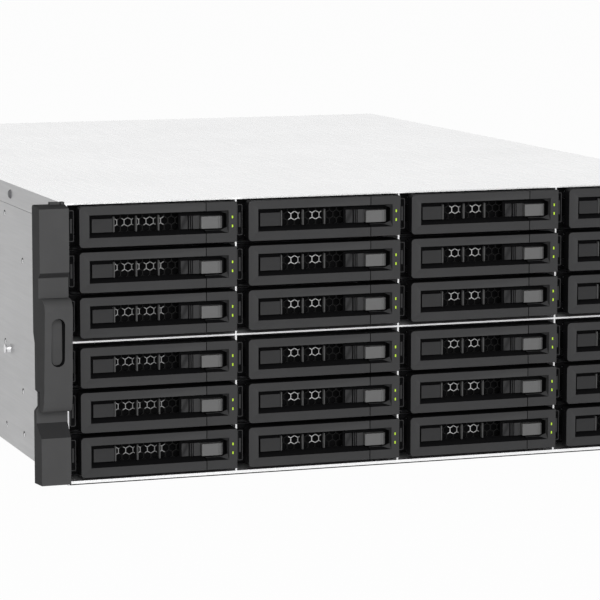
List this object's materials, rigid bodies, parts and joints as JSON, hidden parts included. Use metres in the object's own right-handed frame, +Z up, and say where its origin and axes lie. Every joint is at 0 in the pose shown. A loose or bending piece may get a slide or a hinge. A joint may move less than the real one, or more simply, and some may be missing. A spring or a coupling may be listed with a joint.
{
  "type": "rackmount nas server",
  "caption": "Four-unit rackmount storage server with slide-out drive trays, swinging tray levers, internal fans, hot-swap power supplies and gripped rack ears.",
  "frame": {"origin": "middle of the footprint's box, at the underside of the chassis", "axes": "+X to the right seen from the front, +Y to the back, +Z up; the drive bays face -Y"},
  "size_m": [0.4826, 0.6664, 0.1765],
  "materials": {
    "bare_steel": "bare zinc-coated sheet, satin",
    "cover_steel": "bare zinc-coated sheet, satin, bright",
    "ear_plastic": "fine-grained dark grey moulding",
    "bezel_plastic": "fine-grained dark grey moulding",
    "button_plastic": "mid grey moulding",
    "black_plastic": "black moulding",
    "mesh_steel": "punched sheet, bright edges",
    "drive_casting": "cast and machined drive case",
    "light_pipe": "yellow-green indicator",
    "circuit_board": "green board with dark components",
    "fan_plastic": "black glass-filled moulding",
    "supply_metal": "plated sheet case",
    "contact_brass": "plated contacts"
  },
  "bodies": {
    "chassis": {"chassis_tub": "bare_steel", "top_cover": "cover_steel", "drive_cage": "bare_steel", "rack_ears": "ear_plastic", "drive_backplane": "circuit_board", "fan_wall": "fan_plastic", "mainboard": "circuit_board"},
    "tray_row1_col1": {"drive_tray_row1_col1": "drive_casting"},
    "lever_row1_col1": {"tray_lever_row1_col1": "bezel_plastic"},
    "tray_row1_col2": {"drive_tray_row1_col2": "drive_casting"},
    "lever_row1_col2": {"tray_lever_row1_col2": "bezel_plastic"},
    "tray_row1_col3": {"drive_tray_row1_col3": "drive_casting"},
    "lever_row1_col3": {"tray_lever_row1_col3": "bezel_plastic"},
    "tray_row1_col4": {"drive_tray_row1_col4": "drive_casting"},
    "lever_row1_col4": {"tray_lever_row1_col4": "bezel_plastic"},
    "tray_row2_col1": {"drive_tray_row2_col1": "drive_casting"},
    "lever_row2_col1": {"tray_lever_row2_col1": "bezel_plastic"},
    "tray_row2_col2": {"drive_tray_row2_col2": "drive_casting"},
    "lever_row2_col2": {"tray_lever_row2_col2": "bezel_plastic"},
    "tray_row2_col3": {"drive_tray_row2_col3": "drive_casting"},
    "lever_row2_col3": {"tray_lever_row2_col3": "bezel_plastic"},
    "tray_row2_col4": {"drive_tray_row2_col4": "drive_casting"},
    "lever_row2_col4": {"tray_lever_row2_col4": "bezel_plastic"},
    "tray_row3_col1": {"drive_tray_row3_col1": "drive_casting"},
    "lever_row3_col1": {"tray_lever_row3_col1": "bezel_plastic"},
    "tray_row3_col2": {"drive_tray_row3_col2": "drive_casting"},
    "lever_row3_col2": {"tray_lever_row3_col2": "bezel_plastic"},
    "tray_row3_col3": {"drive_tray_row3_col3": "drive_casting"},
    "lever_row3_col3": {"tray_lever_row3_col3": "bezel_plastic"},
    "tray_row3_col4": {"drive_tray_row3_col4": "drive_casting"},
    "lever_row3_col4": {"tray_lever_row3_col4": "bezel_plastic"},
    "tray_row4_col1": {"drive_tray_row4_col1": "drive_casting"},
    "lever_row4_col1": {"tray_lever_row4_col1": "bezel_plastic"},
    "tray_row4_col2": {"drive_tray_row4_col2": "drive_casting"},
    "lever_row4_col2": {"tray_lever_row4_col2": "bezel_plastic"},
    "tray_row4_col3": {"drive_tray_row4_col3": "drive_casting"},
    "lever_row4_col3": {"tray_lever_row4_col3": "bezel_plastic"},
    "tray_row4_col4": {"drive_tray_row4_col4": "drive_casting"},
    "lever_row4_col4": {"tray_lever_row4_col4": "bezel_plastic"},
    "tray_row5_col1": {"drive_tray_row5_col1": "drive_casting"},
    "lever_row5_col1": {"tray_lever_row5_col1": "bezel_plastic"},
    "tray_row5_col2": {"drive_tray_row5_col2": "drive_casting"},
    "lever_row5_col2": {"tray_lever_row5_col2": "bezel_plastic"},
    "tray_row5_col3": {"drive_tray_row5_col3": "drive_casting"},
    "lever_row5_col3": {"tray_lever_row5_col3": "bezel_plastic"},
    "tray_row5_col4": {"drive_tray_row5_col4": "drive_casting"},
    "lever_row5_col4": {"tray_lever_row5_col4": "bezel_plastic"},
    "tray_row6_col1": {"drive_tray_row6_col1": "drive_casting"},
    "lever_row6_col1": {"tray_lever_row6_col1": "bezel_plastic"},
    "tray_row6_col2": {"drive_tray_row6_col2": "drive_casting"},
    "lever_row6_col2": {"tray_lever_row6_col2": "bezel_plastic"},
    "tray_row6_col3": {"drive_tray_row6_col3": "drive_casting"},
    "lever_row6_col3": {"tray_lever_row6_col3": "bezel_plastic"},
    "tray_row6_col4": {"drive_tray_row6_col4": "drive_casting"},
    "lever_row6_col4": {"tray_lever_row6_col4": "bezel_plastic"},
    "rotor_left": {"fan_rotor_left": "fan_plastic"},
    "rotor_middle": {"fan_rotor_middle": "fan_plastic"},
    "rotor_right": {"fan_rotor_right": "fan_plastic"},
    "supply_lower": {"power_supply_lower": "supply_metal"},
    "supply_upper": {"power_supply_upper": "supply_metal"}
  },
  "joints": [
    {"name": "tray_row1_col1_slide", "type": "slide", "parent": "chassis", "child": "tray_row1_col1", "axis": [0, -1, 0], "range_m": [0, 0.15]},
    {"name": "lever_row1_col1_swing", "type": "hinge", "parent": "tray_row1_col1", "child": "lever_row1_col1", "pos_m": [-0.2102, -0.30775, 0.16176], "axis": [0, 0, -1], "range_deg": [0, 35]},
    {"name": "tray_row1_col2_slide", "type": "slide", "parent": "chassis", "child": "tray_row1_col2", "axis": [0, -1, 0], "range_m": [0, 0.15]},
    {"name": "lever_row1_col2_swing", "type": "hinge", "parent": "tray_row1_col2", "child": "lever_row1_col2", "pos_m": [-0.1009, -0.30775, 0.16176], "axis": [0, 0, -1], "range_deg": [0, 35]},
    {"name": "tray_row1_col3_slide", "type": "slide", "parent": "chassis", "child": "tray_row1_col3", "axis": [0, -1, 0], "range_m": [0, 0.15]},
    {"name": "lever_row1_col3_swing", "type": "hinge", "parent": "tray_row1_col3", "child": "lever_row1_col3", "pos_m": [0.0084, -0.30775, 0.16176], "axis": [0, 0, -1], "range_deg": [0, 35]},
    {"name": "tray_row1_col4_slide", "type": "slide", "parent": "chassis", "child": "tray_row1_col4", "axis": [0, -1, 0], "range_m": [0, 0.15]},
    {"name": "lever_row1_col4_swing", "type": "hinge", "parent": "tray_row1_col4", "child": "lever_row1_col4", "pos_m": [0.1177, -0.30775, 0.16176], "axis": [0, 0, -1], "range_deg": [0, 35]},
    {"name": "tray_row2_col1_slide", "type": "slide", "parent": "chassis", "child": "tray_row2_col1", "axis": [0, -1, 0], "range_m": [0, 0.15]},
    {"name": "lever_row2_col1_swing", "type": "hinge", "parent": "tray_row2_col1", "child": "lever_row2_col1", "pos_m": [-0.2102, -0.30775, 0.13366], "axis": [0, 0, -1], "range_deg": [0, 35]},
    {"name": "tray_row2_col2_slide", "type": "slide", "parent": "chassis", "child": "tray_row2_col2", "axis": [0, -1, 0], "range_m": [0, 0.15]},
    {"name": "lever_row2_col2_swing", "type": "hinge", "parent": "tray_row2_col2", "child": "lever_row2_col2", "pos_m": [-0.1009, -0.30775, 0.13366], "axis": [0, 0, -1], "range_deg": [0, 35]},
    {"name": "tray_row2_col3_slide", "type": "slide", "parent": "chassis", "child": "tray_row2_col3", "axis": [0, -1, 0], "range_m": [0, 0.15]},
    {"name": "lever_row2_col3_swing", "type": "hinge", "parent": "tray_row2_col3", "child": "lever_row2_col3", "pos_m": [0.0084, -0.30775, 0.13366], "axis": [0, 0, -1], "range_deg": [0, 35]},
    {"name": "tray_row2_col4_slide", "type": "slide", "parent": "chassis", "child": "tray_row2_col4", "axis": [0, -1, 0], "range_m": [0, 0.15]},
    {"name": "lever_row2_col4_swing", "type": "hinge", "parent": "tray_row2_col4", "child": "lever_row2_col4", "pos_m": [0.1177, -0.30775, 0.13366], "axis": [0, 0, -1], "range_deg": [0, 35]},
    {"name": "tray_row3_col1_slide", "type": "slide", "parent": "chassis", "child": "tray_row3_col1", "axis": [0, -1, 0], "range_m": [0, 0.15]},
    {"name": "lever_row3_col1_swing", "type": "hinge", "parent": "tray_row3_col1", "child": "lever_row3_col1", "pos_m": [-0.2102, -0.30775, 0.10556], "axis": [0, 0, -1], "range_deg": [0, 35]},
    {"name": "tray_row3_col2_slide", "type": "slide", "parent": "chassis", "child": "tray_row3_col2", "axis": [0, -1, 0], "range_m": [0, 0.15]},
    {"name": "lever_row3_col2_swing", "type": "hinge", "parent": "tray_row3_col2", "child": "lever_row3_col2", "pos_m": [-0.1009, -0.30775, 0.10556], "axis": [0, 0, -1], "range_deg": [0, 35]},
    {"name": "tray_row3_col3_slide", "type": "slide", "parent": "chassis", "child": "tray_row3_col3", "axis": [0, -1, 0], "range_m": [0, 0.15]},
    {"name": "lever_row3_col3_swing", "type": "hinge", "parent": "tray_row3_col3", "child": "lever_row3_col3", "pos_m": [0.0084, -0.30775, 0.10556], "axis": [0, 0, -1], "range_deg": [0, 35]},
    {"name": "tray_row3_col4_slide", "type": "slide", "parent": "chassis", "child": "tray_row3_col4", "axis": [0, -1, 0], "range_m": [0, 0.15]},
    {"name": "lever_row3_col4_swing", "type": "hinge", "parent": "tray_row3_col4", "child": "lever_row3_col4", "pos_m": [0.1177, -0.30775, 0.10556], "axis": [0, 0, -1], "range_deg": [0, 35]},
    {"name": "tray_row4_col1_slide", "type": "slide", "parent": "chassis", "child": "tray_row4_col1", "axis": [0, -1, 0], "range_m": [0, 0.15]},
    {"name": "lever_row4_col1_swing", "type": "hinge", "parent": "tray_row4_col1", "child": "lever_row4_col1", "pos_m": [-0.2102, -0.30775, 0.07442], "axis": [0, 0, -1], "range_deg": [0, 35]},
    {"name": "tray_row4_col2_slide", "type": "slide", "parent": "chassis", "child": "tray_row4_col2", "axis": [0, -1, 0], "range_m": [0, 0.15]},
    {"name": "lever_row4_col2_swing", "type": "hinge", "parent": "tray_row4_col2", "child": "lever_row4_col2", "pos_m": [-0.1009, -0.30775, 0.07442], "axis": [0, 0, -1], "range_deg": [0, 35]},
    {"name": "tray_row4_col3_slide", "type": "slide", "parent": "chassis", "child": "tray_row4_col3", "axis": [0, -1, 0], "range_m": [0, 0.15]},
    {"name": "lever_row4_col3_swing", "type": "hinge", "parent": "tray_row4_col3", "child": "lever_row4_col3", "pos_m": [0.0084, -0.30775, 0.07442], "axis": [0, 0, -1], "range_deg": [0, 35]},
    {"name": "tray_row4_col4_slide", "type": "slide", "parent": "chassis", "child": "tray_row4_col4", "axis": [0, -1, 0], "range_m": [0, 0.15]},
    {"name": "lever_row4_col4_swing", "type": "hinge", "parent": "tray_row4_col4", "child": "lever_row4_col4", "pos_m": [0.1177, -0.30775, 0.07442], "axis": [0, 0, -1], "range_deg": [0, 35]},
    {"name": "tray_row5_col1_slide", "type": "slide", "parent": "chassis", "child": "tray_row5_col1", "axis": [0, -1, 0], "range_m": [0, 0.15]},
    {"name": "lever_row5_col1_swing", "type": "hinge", "parent": "tray_row5_col1", "child": "lever_row5_col1", "pos_m": [-0.2102, -0.30775, 0.04632], "axis": [0, 0, -1], "range_deg": [0, 35]},
    {"name": "tray_row5_col2_slide", "type": "slide", "parent": "chassis", "child": "tray_row5_col2", "axis": [0, -1, 0], "range_m": [0, 0.15]},
    {"name": "lever_row5_col2_swing", "type": "hinge", "parent": "tray_row5_col2", "child": "lever_row5_col2", "pos_m": [-0.1009, -0.30775, 0.04632], "axis": [0, 0, -1], "range_deg": [0, 35]},
    {"name": "tray_row5_col3_slide", "type": "slide", "parent": "chassis", "child": "tray_row5_col3", "axis": [0, -1, 0], "range_m": [0, 0.15]},
    {"name": "lever_row5_col3_swing", "type": "hinge", "parent": "tray_row5_col3", "child": "lever_row5_col3", "pos_m": [0.0084, -0.30775, 0.04632], "axis": [0, 0, -1], "range_deg": [0, 35]},
    {"name": "tray_row5_col4_slide", "type": "slide", "parent": "chassis", "child": "tray_row5_col4", "axis": [0, -1, 0], "range_m": [0, 0.15]},
    {"name": "lever_row5_col4_swing", "type": "hinge", "parent": "tray_row5_col4", "child": "lever_row5_col4", "pos_m": [0.1177, -0.30775, 0.04632], "axis": [0, 0, -1], "range_deg": [0, 35]},
    {"name": "tray_row6_col1_slide", "type": "slide", "parent": "chassis", "child": "tray_row6_col1", "axis": [0, -1, 0], "range_m": [0, 0.15]},
    {"name": "lever_row6_col1_swing", "type": "hinge", "parent": "tray_row6_col1", "child": "lever_row6_col1", "pos_m": [-0.2102, -0.30775, 0.01822], "axis": [0, 0, -1], "range_deg": [0, 35]},
    {"name": "tray_row6_col2_slide", "type": "slide", "parent": "chassis", "child": "tray_row6_col2", "axis": [0, -1, 0], "range_m": [0, 0.15]},
    {"name": "lever_row6_col2_swing", "type": "hinge", "parent": "tray_row6_col2", "child": "lever_row6_col2", "pos_m": [-0.1009, -0.30775, 0.01822], "axis": [0, 0, -1], "range_deg": [0, 35]},
    {"name": "tray_row6_col3_slide", "type": "slide", "parent": "chassis", "child": "tray_row6_col3", "axis": [0, -1, 0], "range_m": [0, 0.15]},
    {"name": "lever_row6_col3_swing", "type": "hinge", "parent": "tray_row6_col3", "child": "lever_row6_col3", "pos_m": [0.0084, -0.30775, 0.01822], "axis": [0, 0, -1], "range_deg": [0, 35]},
    {"name": "tray_row6_col4_slide", "type": "slide", "parent": "chassis", "child": "tray_row6_col4", "axis": [0, -1, 0], "range_m": [0, 0.15]},
    {"name": "lever_row6_col4_swing", "type": "hinge", "parent": "tray_row6_col4", "child": "lever_row6_col4", "pos_m": [0.1177, -0.30775, 0.01822], "axis": [0, 0, -1], "range_deg": [0, 35]},
    {"name": "fan_left_spin", "type": "hinge", "parent": "chassis", "child": "rotor_left", "pos_m": [-0.14, -0.07655, 0.0881], "axis": [0, 1, 0], "continuous": true},
    {"name": "fan_middle_spin", "type": "hinge", "parent": "chassis", "child": "rotor_middle", "pos_m": [0, -0.07655, 0.0881], "axis": [0, 1, 0], "continuous": true},
    {"name": "fan_right_spin", "type": "hinge", "parent": "chassis", "child": "rotor_right", "pos_m": [0.14, -0.07655, 0.0881], "axis": [0, 1, 0], "continuous": true},
    {"name": "supply_lower_slide", "type": "slide", "parent": "chassis", "child": "supply_lower", "axis": [0, 1, 0], "range_m": [0, 0.15]},
    {"name": "supply_upper_slide", "type": "slide", "parent": "chassis", "child": "supply_upper", "axis": [0, 1, 0], "range_m": [0, 0.15]}
  ]
}
